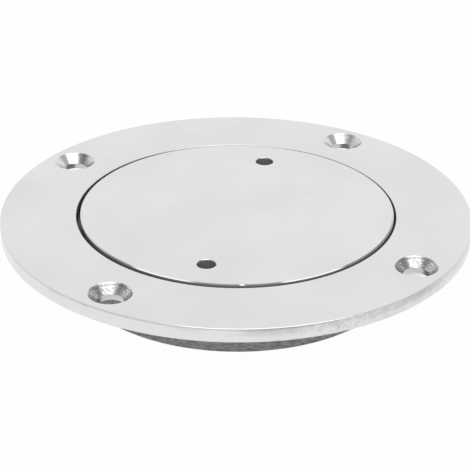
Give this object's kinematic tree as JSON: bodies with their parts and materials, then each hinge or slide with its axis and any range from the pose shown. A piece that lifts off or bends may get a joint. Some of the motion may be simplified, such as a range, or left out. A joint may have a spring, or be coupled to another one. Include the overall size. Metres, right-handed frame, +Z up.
{
  "type": "deck inspection plate",
  "caption": "Round flanged deck plate with a screw-in cover, a rubber seal under its rim, a short neck below and countersunk holes round its edge.",
  "frame": {"origin": "centre of the screw circle on the flange's underside, which sits on the deck", "axes": "+Z up out of the deck along the ring's axis; the screw holes lie on the diagonals of X and Y"},
  "size_m": [0.15, 0.15, 0.0214],
  "materials": {
    "ring_steel": "flange turned and polished, neck left as cast",
    "cover_steel": "top turned and polished, underside as machined",
    "seal_rubber": "matt black"
  },
  "bodies": {
    "ring": {"deck_ring": "ring_steel"},
    "seal": {"seal_ring": "seal_rubber"},
    "cover": {"cover": "cover_steel"}
  },
  "joints": [
    {"name": "cover_lift", "type": "slide", "parent": "ring", "child": "seal", "axis": [0, 0, 1], "range_m": [0, 0.015]},
    {"name": "cover_turn", "type": "hinge", "parent": "seal", "child": "cover", "pos_m": [0.0003, 0, 0], "axis": [0, 0, 1], "range_deg": [0, 1800]}
  ],
  "couplings": [
    {"joint": "cover_lift", "follows": "cover_turn", "m_per_rad": 0.00047746}
  ]
}
